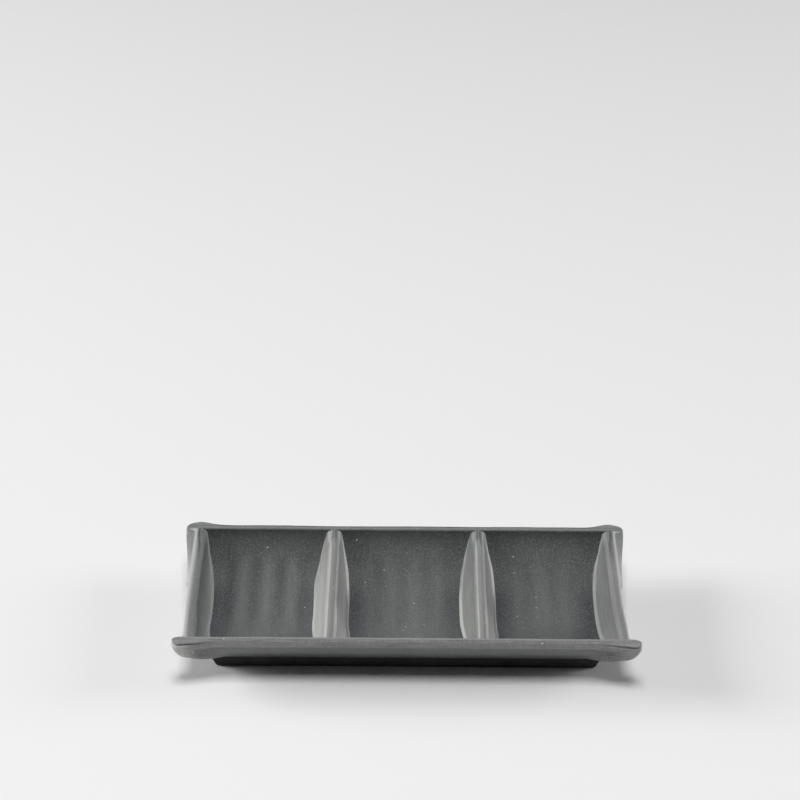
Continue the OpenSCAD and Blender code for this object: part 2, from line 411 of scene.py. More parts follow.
def outside_glaze_and_light(point):
    """The outer walls: thin glaze on the lip and on the lobes of the front ears, with painted light that is
    stronger on the left, most of all on the left lobe.
    """
    # Painted light: the lobes and the lip are painted paler where they face the light from the left.
    lobe = 0.0
    if point.y < 0:
        lobe = 0.9 if point.x < 0 else 0.36
    lobe *= ease(abs(point.x), 93.0, 103.0) * ease(point.z, 9.0, 17.0)
    lip_level = 0.27 + 0.05 * ease(point.x, -30.0, -80.0)
    return max(lobe, lip_level * ease(point.z, lip_base - 1.4, lip_base + 0.2) - 0.03)


def glaze_thinness_and_painted_light(point):
    """How thin the glaze lies at a point of the body, with painted light and shade added."""
    y = abs(point.y)
    if y > rim_inner - 0.7 and point.z > rounding_foot:
        return rim_glaze_light_and_shade(point)
    if distance_to_trough(y, point.z) > 1.5:
        return outside_glaze_and_light(point)
    # In the trough the flutes' shading is painted in, ridges paler and hollows darker, and the painted shade
    # is taken off.
    return flute_depth(point.x, point.y) * 0.7 - painted_trough_shade(point.x, point.y)


print("Painted_shade beside the left cross wall:", round(painted_trough_shade(-31.0, 0.0), 2))

# %% [markdown]
# ## Finishing a mesh
# Each piece is shaped in millimetres in a bmesh. Finishing moves its points by the unevenness field, scales
# it to metres, shades it smooth with crisp edges only where two faces really meet at an angle, and hands it
# to the frame: what it rides on.

# %% Finish a piece
crisp_angle = math.radians(38)
pieces = []


def open_edges(mesh_data):
    """How many edges don't lie between exactly two faces. A closed piece has none."""
    return sum(1 for edge in mesh_data.edges if len(edge.link_faces) != 2)


def finish_piece(node, mesh_data, prefix="glazed_", moved=False):
    """Makes the piece for a node. moved says that its points had their unevenness before."""
    print(node, "faces:", len(mesh_data.faces), "open edges:", open_edges(mesh_data))
    # The layer holds how thin the glaze lies, with painted light and shade added to it.
    thinness_and_light = mesh_data.verts.layers.float.get("glaze_thinness_and_painted_light")
    if thinness_and_light is None:
        thinness_and_light = mesh_data.verts.layers.float.new("glaze_thinness_and_painted_light")
        for v in mesh_data.verts:
            v[thinness_and_light] = glaze_thinness_and_painted_light(v.co)
    if not moved:
        for v in mesh_data.verts:
            v.co = uneven(v.co)
    bmesh.ops.scale(mesh_data, vec=(MM, MM, MM), verts=mesh_data.verts)
    bmesh.ops.recalc_face_normals(mesh_data, faces=mesh_data.faces)
    if mesh_data.calc_volume(signed=True) < 0:
        bmesh.ops.reverse_faces(mesh_data, faces=mesh_data.faces)
    for face in mesh_data.faces:
        face.smooth = True
    for edge in mesh_data.edges:
        edge.smooth = len(edge.link_faces) == 2 and edge.calc_face_angle(0.0) < crisp_angle
    mesh = bpy.data.meshes.new(prefix + node)
    mesh_data.to_mesh(mesh)
    mesh_data.free()
    piece = bpy.data.objects.new(prefix + node, mesh)
    bpy.context.scene.collection.objects.link(piece)
    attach(piece, "root")
    pieces.append((piece, node))


print("Edges sharper than", round(math.degrees(crisp_angle)), "degrees stay crisp")

# %% [markdown]
# ## The body: trough, lip and ears in one skin
# A potter would press this from one slab. So the body starts as one flat grid: its rows cross the
# front rim, the trough and the back rim, and its columns run along the dish. Its points are moved
# onto the section. One skin gives a lip that flows into the ears without a seam.
#
# Near an end the outermost columns turn round the corner, and the columns close up to each other.

# %% Columns and the rim's top
rim_rows = 10
column_count = 176
straight_share = 0.965
inner_share = 0.8
corner_turns = {side: turn_at(rim_inner, rim_top, side) for side in (-1, 1)}


def grid_place(v, column_steps, row_steps):
    """Column and row of a point of a fresh grid."""
    return round((v.co.x + 1) / 2 * column_steps), round((v.co.y + 1) / 2 * row_steps)


def column_share(i):
    """From -1 to 1 along the dish, closer together near the ends."""
    share = 2 * i / column_count - 1
    return math.copysign(1 - (1 - abs(share)) ** 1.25, share)


def column_x(along, y, z):
    """Distance out along the dish of a column at a row: straight inside, on the skin at the end."""
    if along <= inner_share:
        return along * half_length
    return mix(inner_share * half_length, skin_end(y, z), (along - inner_share) / (1 - inner_share))


def corner_weight(along):
    """0 along the straight part of the rim, rising to 1 at the outermost column."""
    return max(0.0, (along - straight_share) / (1 - straight_share))


def outer_edge_turn(column):
    """Turn round the outline at which a column meets the rim's outer edge."""
    along = abs(column)
    if along <= straight_share:
        return 3 - along / straight_share
    return 2 - 0.5 * corner_weight(along)


def furrow(share, x):
    """Shallow furrow along the outer edge of the rim's top, slightly wavy."""
    return 0.16 * bell(share, 0.8 + 0.08 * rim_wave(x), 0.09)


def rim_top_point(column, share, side):
    """Point on the flat top of the rim: share 0 at its inner edge, 1 at its outer edge."""
    weight = corner_weight(abs(column))
    outer = Vector(skin(outer_edge_turn(column), rim_top, side))
    inner = Vector((column_x(abs(column), rim_inner * side, rim_top), rim_inner))
    end_arc = Vector(skin(mix(corner_turns[side], tip_turn, share), rim_top, side))
    chord_start = Vector(skin(corner_turns[side], rim_top, side))
    chord = chord_start.lerp(Vector(skin(tip_turn, rim_top, side)), share)
    point = inner.lerp(outer, share) + (end_arc - chord) * weight
    x = math.copysign(point.x, column)
    return Vector((x, point.y * side, rim_top - furrow(share, x) * (1 - weight)))


print("Columns:", column_count + 1, "rows across each rim:", rim_rows)

# %% Grid over the trough and the rims
total_rows = len(trough_rows) + 2 * rim_rows
body = bmesh.new()
bmesh.ops.create_grid(body, x_segments=column_count, y_segments=total_rows - 1, size=1.0)
border_turns = {}
for v in body.verts:
    i, j = grid_place(v, column_count, total_rows - 1)
    column = column_share(i)
    at_end = i in (0, column_count)
    side = -1 if j < total_rows / 2 else 1
    rim_step = rim_rows - j if side < 0 else j - (total_rows - 1 - rim_rows)
    if rim_step > 0:
        v.co = rim_top_point(column, rim_step / rim_rows, side)
        if rim_step == rim_rows:
            border_turns[v] = outer_edge_turn(column)
        elif at_end:
            border_turns[v] = mix(corner_turns[side], tip_turn, rim_step / rim_rows)
    else:
        y, z = trough_rows[j - rim_rows]
        x = math.copysign(column_x(abs(column), y, z), column)
        v.co = Vector((x, y, z + flute_depth(x, y)))
        if at_end:
            border_turns[v] = turn_at(abs(y), z, side)
print("Body grid:", len(body.verts), "points")

# %% [markdown]
# The border of the grid now lies on the outer skin. Each border point keeps its turn round the
# outline while it goes down, so a ring is one extrusion whose points are then moved to the skin
# at the next height. The rings lie close together in the rolled lip and wider on the plain wall,
# and a last face closes the bottom.

# %% Rings down the outer skin
# How far down to the foot each ring lies, as a share
drops = [
    0.004, 0.01, 0.018, 0.026, 0.034, 0.042, 0.05, 0.058, 0.068, 0.08, 0.1, 0.118, 0.14, 0.166, 0.2,
    0.24, 0.28, 0.33, 0.38, 0.44, 0.5, 0.56, 0.62, 0.68, 0.74, 0.8, 0.86, 0.91, 0.96, 1.0,
]


def grow_ring(mesh_data, loop):
    """Extrudes a loop of edges. Gives the new loop, and the old point behind each new point."""
    old_points = {v for edge in loop for v in edge.verts}
    grown = bmesh.ops.extrude_edge_only(mesh_data, edges=loop)["geom"]
    new_edges = [g for g in grown if isinstance(g, bmesh.types.BMEdge)]
    new_loop = [edge for edge in new_edges if not old_points.intersection(edge.verts)]
    origins = {}
    for v in {v for edge in new_loop for v in edge.verts}:
        origins[v] = next(edge.other_vert(v) for edge in v.link_edges if edge.other_vert(v) in old_points)
    return new_loop, origins


loop = [edge for edge in body.edges if edge.is_boundary]
starts = {v: (turn, v.co.copy()) for v, turn in border_turns.items()}
for drop in drops:
    loop, origins = grow_ring(body, loop)
    starts = {v: starts[old] for v, old in origins.items()}
    for v, (turn, top) in starts.items():
        z = top.z - (top.z - foot_height) * drop
        x, y = skin(turn, min(z, rim_top), 1 if top.y > 0 else -1)
        v.co = Vector((math.copysign(x, top.x), math.copysign(y, top.y), z))
bmesh.ops.holes_fill(body, edges=loop, sides=0)
print("Body faces:", len(body.faces), "open edges:", open_edges(body))

# %% [markdown]
# ## Cutting the body into its parts
# The frame has separate nodes for the shell, the two lips and the four ears, so the skin is cut along the
# same planes: the lips start at the base of the rolled lip, and the ears start where their
# sweep starts. A bisect removes one side of a plane and fills the cut, which leaves each part closed.

# %% Cut lips and ears
along_x = Vector((1, 0, 0))
along_z = Vector((0, 0, 1))
cut_slack = 0.0001


def everything(mesh_data):
    return mesh_data.verts[:] + mesh_data.edges[:] + mesh_data.faces[:]


def cut_part(source, planes, front=None):
    """A closed copy of the source, cut by planes. Each plane is a point and the direction that goes."""
    part = source.copy()
    for point, away in planes:
        cut = bmesh.ops.bisect_plane(part, geom=everything(part), dist=cut_slack,
                                     plane_co=point, plane_no=away, clear_outer=True)
        edges = [g for g in cut["geom_cut"] if isinstance(g, bmesh.types.BMEdge)]
        bmesh.ops.holes_fill(part, edges=edges, sides=0)
    if front is not None:
        gone = [v for v in part.verts if (v.co.y < 0) != front]
        bmesh.ops.delete(part, geom=gone, context="VERTS")
    return part


for v in body.verts:
    v.co = uneven(v.co)
for side_name, front in (("front", True), ("back", False)):
    past_ears = [(along_x * end * ear_start, along_x * end) for end in (1, -1)]
    rim = cut_part(body, [(along_z * lip_base, -along_z)] + past_ears, front)
    finish_piece(side_name + "_rim", rim, moved=True)
    for end_name, end in (("left", -1), ("right", 1)):
        planes = [(along_z * ear_foot, -along_z), (along_x * end * ear_start, -along_x * end)]
        finish_piece(side_name + "_" + end_name + "_ear", cut_part(body, planes, front), moved=True)

# %% [markdown]
# The shell keeps a step-shaped cut under each ear, which no single plane gives. There the skin is cut
# along both planes, the faces between them go, and a bar across the step gives two flat fills.

# %% Cut the shell
touching = 0.001
shell = cut_part(body, [(along_z * lip_base, along_z)])
body.free()
step_planes = [(along_x * end * ear_start, along_x) for end in (1, -1)] + [(along_z * ear_foot, along_z)]
for point, normal in step_planes:
    bmesh.ops.bisect_plane(shell, geom=everything(shell), dist=cut_slack, plane_co=point, plane_no=normal)
under_ears = []
for face in shell.faces:
    middle = face.calc_center_median()
    if abs(middle.x) > ear_start + touching and middle.z > ear_foot + touching:
        under_ears.append(face)
bmesh.ops.delete(shell, geom=under_ears, context="FACES")
for end in (-1, 1):
    for side in (-1, 1):
        rim_of_step = []
        for edge in shell.edges:
            place = edge.verts[0].co
            if edge.is_boundary and place.x * end > 0 and place.y * side > 0:
                rim_of_step.append(edge)
        upright = [e for e in rim_of_step if all(abs(abs(v.co.x) - ear_start) < touching for v in e.verts)]
        level = [e for e in rim_of_step if e not in upright]
        corners = {v for e in upright for v in e.verts} & {v for e in level for v in e.verts}
        bar = bmesh.ops.contextual_create(shell, geom=list(corners))["edges"]
        bmesh.ops.contextual_create(shell, geom=upright + bar)
        bmesh.ops.contextual_create(shell, geom=level + bar)
finish_piece("tray_shell", shell, moved=True)

# %% [markdown]
# ## The section of a wall
# A cross wall stands in the trough like a long fin. Its crest is a flat strip with soft shoulders, its
# flanks lean outwards, and where it meets the trough a small fillet of clay was smoothed in
# with a tool. The fillet is worked out from each point's distance to the trough, so it also rounds
# the wall into the rims. Towards the back the shoulders swell into a dome under the back lip.

# %% Section of a wall
crest_top = 27.0
crest_half = 1.35
shoulder = 1.6
domed_shoulder = 3.3
fillet = 1.1
domed_fillet = 0.45
crest_fillet = 0.9
crest_rise = 0.9
flank_slope = math.tan(math.radians(17.4))
left_flank_slope = math.tan(math.radians(20.4))
right_flank_slope = math.tan(math.radians(14.7))
flank_steps = 24
shoulder_steps = 8


def fillet_reach(distance, radius):
    """How far a round fillet reaches out at a distance from the surface it stands on."""
    if distance >= radius:
        return 0.0
    return radius * (1 - math.sqrt(max(0.0, 1 - (1 - distance / radius) ** 2)))


def crest_height(y):
    """Height of a crest. It has a small fillet up to the front rim and rises softly to the back rim."""
    if y > 0:
        return crest_top + crest_rise * ease(y, 37.5, 43.5)
    return crest_top + fillet_reach(inner_half_depth + y, crest_fillet)


def flank_points(y, z_low, slope, swell=0.0):
    """Half of a wall's section at a row, as (distance from the crest's edge, height), from toe to crest."""
    domed = ease(y, 29.0, 41.0)
    top = crest_height(y)
    rise = mix(shoulder, domed_shoulder, domed)
    bend = top - rise
    round_in = 1.2 * domed
    broad = shoulder + swell * ease(y, 31.0, 39.0)
    radius = mix(fillet, domed_fillet, domed)
    z_mid = max(bend, mix(z_low, top, 0.45))
    heights = [mix(z_low, z_mid, (k / flank_steps) ** 1.8) for k in range(flank_steps + 1)]
    first = math.asin((z_mid - bend) / rise)
    for k in range(1, shoulder_steps + 1):
        heights.append(bend + rise * math.sin(mix(first, math.pi / 2, k / shoulder_steps)))
    points = []
    for z in heights:
        if z <= bend:
            out = broad + (bend - z) * slope
        else:
            out = mix(-round_in, broad, math.sqrt(max(0.0, 1 - ((z - bend) / rise) ** 2)))
        points.append((out + fillet_reach(distance_to_trough(y, z), radius), z))
    return points


def flank_glaze_and_light(points, y, toe_highlight, low_level, high_level, edge_highlight, crest_level):
    """How thin the glaze lies on each point of a flank, from its toe up to the crest's edge, with painted
    highlights along the toe, along the crest's edge and on the shoulders of the dome.
    """
    toe, crest = points[0][1], points[-1][1]
    domed = ease(y, 33.0, 41.0)
    levels = []
    for out, z in points:
        level = mix(low_level, high_level, ease(z, toe, toe + max(0.5, crest - toe)))
        # Painted highlight along the toe of the flank.
        level += (toe_highlight - low_level) * bell(z, toe + 0.4, 0.65)
        level = mix(crest_level, level, ease(out, -0.3, 0.6))
        # Painted glints on the shoulders of the dome near the back.
        level += 0.3 * domed * bell(out, 1.3, 0.6)
        # Painted highlight along the crest's edge.
        levels.append(mix(level, edge_highlight, bell(out, 0.1, 0.3) * (1 - 0.7 * domed)))
    return levels


left_flanks = [flank_points(y, z, left_flank_slope, 0.9) for y, z in inner_rows]
right_flanks = [flank_points(y, z, right_flank_slope, 0.2) for y, z in inner_rows]
print("Rows in a wall:", len(left_flanks), "points in a flank:", len(left_flanks[0]))

# %% [markdown]
# ## From sections to a wall
# A wall is one grid: its rows are the trough's own rows, so wall and trough share the same curve, and
# its columns run from toe to toe over the crest. The underside is seated just below the trough's
# surface, and both ends are sunk into the rims, so no gap can show where the pieces meet.

# %% Build a wall from rows of section points
seat_depth = 0.4


def seated(row, x):
    """A point just below the trough's surface at a row, where a wall's hidden underside lies."""
    y0, z0 = inner_rows[max(row - 1, 0)]
    y1, z1 = inner_rows[min(row + 1, row_count)]
    length = math.hypot(y1 - y0, z1 - z0)
    y, z = inner_rows[row]
    return Vector((x, y + (z1 - z0) / length * seat_depth, z - (y1 - y0) / length * seat_depth))


def sunk(row, middle, side):
    """A copy of a row of points, drawn in a little and pushed into the rim."""
    return [Vector((mix(middle, p.x, 0.96), p.y + side * seat_depth, p.z - 0.15)) for p in row]


def wall_piece(sections):
    """Closed mesh through one section of (x, z, glaze thinness with painted light and shade) per row, with
    underside and ends.
    """
    rows, levels = [], []
    for row, section in enumerate(sections):
        y = inner_rows[row][0]
        points = [Vector((x, y, z)) for x, z, level in section]
        rows.append([seated(row, section[0][0])] + points + [seated(row, section[-1][0])])
        levels.append([section[0][2]] + [level for x, z, level in section] + [section[-1][2]])
    middle = sum(p.x for p in rows[0]) / len(rows[0])
    rows = [sunk(rows[0], middle, -1)] + rows + [sunk(rows[-1], middle, 1)]
    levels = [levels[0]] + levels + [levels[-1]]
    column_steps, row_steps = len(rows[0]) - 1, len(rows) - 1
    wall = bmesh.new()
    thinness_and_light = wall.verts.layers.float.new("glaze_thinness_and_painted_light")
    bmesh.ops.create_grid(wall, x_segments=column_steps, y_segments=row_steps, size=1.0)
    columns = {}
    for v in wall.verts:
        i, j = grid_place(v, column_steps, row_steps)
        columns[v] = i
        v.co = rows[j][i]
        v[thinness_and_light] = levels[j][i]
    toes = [e for e in wall.edges if e.is_boundary and columns[e.verts[0]] == columns[e.verts[1]]]
    bmesh.ops.bridge_loops(wall, edges=toes)
    bmesh.ops.holes_fill(wall, edges=[e for e in wall.edges if e.is_boundary], sides=0)
    for v in wall.verts:
        near = max(0.0, 1 - distance_to_trough(v.co.y, v.co.z) / 3.0)
        v.co.z += flute_depth(v.co.x, v.co.y) * near
    return wall


print("Walls are seated", seat_depth, "mm deep")

# %% [markdown]
# ## The cross walls
# No two cross walls are alike. The left one has a narrow waist and soft hips, and its left flank is pale all
# over, from thin glaze and from light painted on from the left. The right one is plainer and darker. On both,
# the left flank leans more than the right one, which broadens towards the front. Painted highlights run along
# the toes and the crest's edges, and the crown is painted lighter on its left side.

# %% Cross walls
divider_spacing = 70.6
crest_drift = 0.35


def divider_sections(x, left_flank_pale_and_lit, hand, widen, crest_levels):
    """Sections of a cross wall.

    The number after x is how pale its left flank is, from thin glaze and from light painted on from the left;
    hand is how much waist and hips it has, widen is how much its right flank broadens, and crest_levels are
    the glaze and painted highlight at its crest's edges.
    """
    sections = []
    for (y, _), left_flank, right_flank in zip(inner_rows, left_flanks, right_flanks):
        back = ease(y, 2.0, 24.0)
        front = ease(y, -8.0, -30.0)
        middle = bell(y, -6.0, 28.0)
        waist = 1 - hand * 0.05 * bell(y, 32.0, 7.0)
        hips = 1 + hand * (0.04 * bell(y, 22.0, 6.0) - 0.07 * bell(y, 0.0, 13.0))
        # Left flank: a painted highlight along the toe, and thin glaze with painted light from the left.
        toe = 0.3 + 0.8 * middle
        low = left_flank_pale_and_lit * (0.45 + 0.55 * middle + 0.2 * front)
        high = left_flank_pale_and_lit * (0.4 + 0.2 * middle + 0.2 * front)
        left_levels = flank_glaze_and_light(left_flank, y, toe, low, high, 1.0, crest_levels[0])
        # Right flank: a painted highlight along the toe, stronger towards the back, and thin glaze with
        # painted light, paler at the front.
        toe = 0.12 + 0.98 * back
        low = 0.56 + 0.1 * back + 0.36 * front + 0.16 * middle
        high = 0.4 + 0.12 * back + 0.26 * front + 0.1 * middle
        right_levels = flank_glaze_and_light(right_flank, y, toe, low, high, 0.12, crest_levels[1])
        left = [(x - crest_half - out * (1 - 0.1 * front) * waist * hips, z, level)
                for (out, z), level in zip(left_flank, left_levels)]
        right = [(x + crest_half + out * (1 + widen * front) * waist, z, level)
                 for (out, z), level in zip(right_flank, right_levels)]
        top = left_flank[-1][1]
        width = crest_half + left_flank[-1][0]
        # The crown is painted lighter on its left side, where the light falls.
        crown = [(x + width * share, top + 0.1 * (1 - share * share), level)
                 for share, level in ((-0.6, 0.28), (-0.2, 0.26), (0.2, 0.22), (0.6, 0.16))]
        sections.append(left + crown + right[::-1])
    return sections


divider_x = divider_spacing / 2 - crest_drift
finish_piece("left_divider", wall_piece(divider_sections(-divider_x, 1.14, 1.0, 0.35, (0.04, 0.0))))
finish_piece("right_divider", wall_piece(divider_sections(divider_x, 0.42, 0.0, 0.2, (-0.08, -0.08))))

# %% [markdown]
# ## The end walls
# An end wall has the same inner flank as a cross wall. Its crest falls away outwards in a broad soft
# shoulder, which then runs down the outer skin. Towards the rims the shoulder rises
# and spreads out until it is level with the ears, because the potter pulled the corners out last.
# A painted highlight runs along the outer edge of the crest, the palest line of the dish, and the outer
# shoulder is painted lighter towards the front, where it faces the light.

# %% End walls
crest_in = 96.8
crest_out = 100.3
end_flank_slope = math.tan(math.radians(10.2))
outer_steps = 34


def outer_face(y, z_low):
    """Outer side of an end wall at a row, from the crest's outer edge down to the trough's end."""
    top = crest_height(y)
    shoulder_fall = mix(2.0, 1.1, ease(y, 4.0, 40.0))
    edge_x = skin_end(y, top - shoulder_fall)
    near_ear = ease(abs(y), 41.5, 43.7)
    # The outer shoulder is painted lighter towards the front, where it faces the light.
    lit_band_level = mix(0.8, 0.2, ease(y, 2.0, 36.0))
    bead = max(near_ear, ease(y, 18.0, 42.0))
    points = []
    for k in range(1, outer_steps + 1):
        z = mix(top, z_low, (k / outer_steps) ** 2)
        fall = (top - z) / shoulder_fall
        if fall < 1:
            shoulder_x = crest_out + (edge_x - crest_out) * fall ** 0.52
        else:
            shoulder_x = edge_x + (fall - 1) * 8.8
        shoulder_x += 7.5 * near_ear
        skin_x = skin_end(y, z, bead)
        softened = 0.25 * math.exp(-abs(shoulder_x - skin_x) / 0.5)
        # A painted highlight runs along the crest's outer edge.
        level = mix(1.1, lit_band_level, ease(shoulder_x, crest_out, crest_out + 1.1))
        level = mix(level, 0.03, ease(fall, 1.4, 4.0))
        points.append((min(shoulder_x, skin_x) - softened, z, level))
    points[-1] = (skin_end(y, z_low), z_low, 0.3)
    return points


def end_sections(slope, front_growth, flank_levels, crown_levels):
    """Sections of the right end wall, with the glaze and painted light of its flank and of its crown from
    inside out.
    """
    sections = []
    for y, z_low in inner_rows:
        flank = flank_points(y, z_low, slope)
        inner_levels = flank_glaze_and_light(flank, y, *flank_levels, crown_levels[0])
        spread = 1 + front_growth * ease(y, -12.0, -34.0)
        inner = [(crest_in - out * spread, z, level) for (out, z), level in zip(flank, inner_levels)]
        outer = outer_face(y, z_low)
        reach = min(crest_out, outer[0][0] - 0.1)
        darker = 0.4 * ease(y, 10.0, 35.0)
        crown = [(mix(inner[-1][0], reach, share), flank[-1][1], level - darker * (1 - share))
                 for share, level in zip((0.25, 0.5, 0.75, 1.0), crown_levels)]
        sections.append(inner + crown + outer)
    return sections


# Flank levels: painted highlight along the toe, glaze with painted light low and high, painted highlight at
# the crest's edge. The crown's last level is the painted highlight on its outer edge, stronger on the left
# end, which faces the light.
right_sections = end_sections(flank_slope, 0.0, (0.56, 0.28, 0.16, 0.34), (0.14, 0.13, 0.16, 0.8))
left_sections = end_sections(end_flank_slope, 0.5, (0.34, 0.3, 0.02, 0.05), (0.06, 0.2, 0.7, 1.2))
mirrored_sections = [[(-x, z, level) for x, z, level in section] for section in left_sections]
finish_piece("left_end_wall", wall_piece(mirrored_sections))
finish_piece("right_end_wall", wall_piece(right_sections))

# %% [markdown]
# ## The foot
# The dish stands on a low ring that tapers down to the table. A circle gives its loop: the circle's
# points are moved onto a rounded rectangle, and each extrusion is the next step of the section, down
# the outside, across the standing edge and up the recess. Joining the last loop to the first
# closes the ring.

# %% Foot ring
# Inset from the top of the foot, corner radius and height of each step of the section
foot_steps = [
    (0.0, 2.0, 7.3), (0.1, 2.0, 6.7), (0.6, 2.0, 5.0), (1.3, 2.0, 2.9), (1.9, 2.0, 0.95),
    (2.05, 2.0, 0.5), (2.25, 1.9, 0.22), (2.5, 1.8, 0.06), (2.8, 1.6, 0.0), (4.5, 1.5, 0.0),
    (6.1, 1.5, 0.0), (6.4, 1.5, 0.06), (6.6, 1.5, 0.22), (6.7, 1.5, 0.5), (6.8, 1.5, 2.5),
    (7.0, 1.5, 5.0), (7.2, 1.5, 7.3),
]


def foot_point(angle, inset, radius, z):
    """Point of the foot. A third of each quarter circle is for its end, its corner and its long side."""
    turn = 3 * abs(math.atan2(math.sin(angle), abs(math.cos(angle)))) / (math.pi / 2)
    x, y = outline_point(turn, foot_top_half_length - inset, foot_top_half_depth - inset, radius)
    return Vector((math.copysign(x, math.cos(angle)), math.copysign(y, math.sin(angle)), z))


foot = bmesh.new()
bmesh.ops.create_circle(foot, cap_ends=False, segments=240, radius=1.0)
first_loop = foot.edges[:]
loop = first_loop
angles = {v: math.atan2(v.co.y, v.co.x) for v in foot.verts}
for v, angle in angles.items():
    v.co = foot_point(angle, *foot_steps[0])
for step in foot_steps[1:]:
    loop, origins = grow_ring(foot, loop)
    angles = {v: angles[old] for v, old in origins.items()}
    for v, angle in angles.items():
        v.co = foot_point(angle, *step)
bmesh.ops.bridge_loops(foot, edges=first_loop + loop)
finish_piece("foot_ring", foot, prefix="dark_")

# %% [markdown]
# ## Standing in for the CAD
# Each piece has the same place as its CAD node and takes over from it, so the plain node is hidden and the
# piece moves and casts shadows in its stead.

# %% Each piece stands for its node
for piece, node in pieces:
    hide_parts(node)
print("Pieces:", len(pieces))

# %% [markdown]
# ## Writing shader maths as expressions
# A node tree is easier to read when its sums look like sums. The small class below wraps a socket, and
# its operators add Math nodes. One function adds any other node: its settings are set first, and
# then its sockets are given numbers or links.

# %% A small shader language
class Wire:
    """A socket whose arithmetic adds Math nodes to its tree."""

    def __init__(self, tree, socket):
        self.tree = tree
        self.socket = socket

    def maths(self, operation, first, second):
        return add_node(self.tree, "ShaderNodeMath", {"operation": operation}, {0: first, 1: second})

    def __add__(self, other):
        return self.maths("ADD", self, other)

    def __sub__(self, other):
        return self.maths("SUBTRACT", self, other)

    def __rsub__(self, other):
        return self.maths("SUBTRACT", other, self)

    def __mul__(self, other):
        return self.maths("MULTIPLY", self, other)

    __radd__ = __add__
    __rmul__ = __mul__


def add_node(tree, kind, settings=None, inputs=None, output=0):
    """Adds a node: its settings, such as an operation, then values or links for its sockets."""
    node = tree.nodes.new(kind)
    for name, value in (settings or {}).items():
        setattr(node, name, value)
    for name, value in (inputs or {}).items():
        if isinstance(value, Wire):
            tree.links.new(value.socket, node.inputs[name])
        else:
            node.inputs[name].default_value = value
    return Wire(tree, node.outputs[output])


def ramp(wire, low, high, from_value=0.0, to_value=1.0):
    """Smooth step of a wire between two levels."""
    levels = {"Value": wire, "From Min": low, "From Max": high, "To Min": from_value, "To Max": to_value}
    return add_node(wire.tree, "ShaderNodeMapRange", {"interpolation_type": "SMOOTHSTEP"}, levels)


def mix_colours(tree, share, first, second):
    """Mix of two colours by a share from 0 to 1."""
    return add_node(tree, "ShaderNodeMix", {"data_type": "RGBA"}, {0: share, 6: first, 7: second}, output=2)


def clouds(place, scale, detail):
    """Smooth noise at a place, from 0 to 1. The scale is in waves to a metre."""
    return add_node(place.tree, "ShaderNodeTexNoise", {}, {"Vector": place, "Scale": scale, "Detail": detail})


def stretched(place, factors):
    """A place multiplied along x, y and z, which draws a pattern out into streaks."""
    return add_node(place.tree, "ShaderNodeVectorMath", {"operation": "MULTIPLY"}, {0: place, 1: factors})


def new_finish(name):
    """A new material, its shader, and the place on the object, in metres."""
    material = bpy.data.materials.new(name)
    material.use_nodes = True
    tree = material.node_tree
    place = add_node(tree, "ShaderNodeTexCoord", output="Object")
    return material, tree.nodes["Principled BSDF"], place


def give(shader, socket_name, wire):
    """Links a wire to one of the shader's sockets."""
    wire.tree.links.new(wire.socket, shader.inputs[socket_name])


print("Shader helpers ready")

# %% [markdown]
# ## The speckled glaze
# The glaze is a satin charcoal grey. Up close it holds fine pale specks about half a millimetre across,
# a few bigger bright ones, and soft cloudy patches where it lies thicker or thinner. Specks come from a
# cell pattern: each cell has a random number, which decides whether it holds a speck.
#
# Where the glaze lies thin, the pale clay shows through in fine streaks that follow the run of the glaze; the
# same pale colour also paints light and highlights, and painted shade darkens the colour. On the faces of the
# lip the streaks lie lengthways and are rougher, as a sponge wiped them.

# %% Speckled glaze
# The pale clay that shows through thin glaze; it also paints the light and highlights.
pale_clay_and_light = (0.44, 0.445, 0.43, 1)
grain_grey = (0.34, 0.34, 0.34, 1)
fine_speck = (0.5, 0.5, 0.49, 1)
bright_speck = (0.85, 0.85, 0.83, 1)
lip_starts, lip_full = 0.0445, 0.0468


def speck_layer(place, cell, size, share):
    """1 inside specks: a share of the cells holds one. Cell and speck sizes are in metres."""
    cells = {"Vector": place, "Scale": 1 / cell, "Randomness": 1.0}
    distance = add_node(place.tree, "ShaderNodeTexVoronoi", {}, cells, output="Distance")
    chance = add_node(place.tree, "ShaderNodeTexVoronoi", {}, cells, output="Color")
    chosen = add_node(place.tree, "ShaderNodeSeparateColor", {}, {"Color": chance})
    round_spot = ramp(distance, size / cell / 2, size / cell / 4)
    return round_spot * ramp(chosen, 1 - share - 0.02, 1 - share + 0.02)


def tinted(colour, factors):
    """A colour with each channel multiplied, in the form that a socket takes."""
    return (*(channel * factor for channel, factor in zip(colour, factors)), 1)


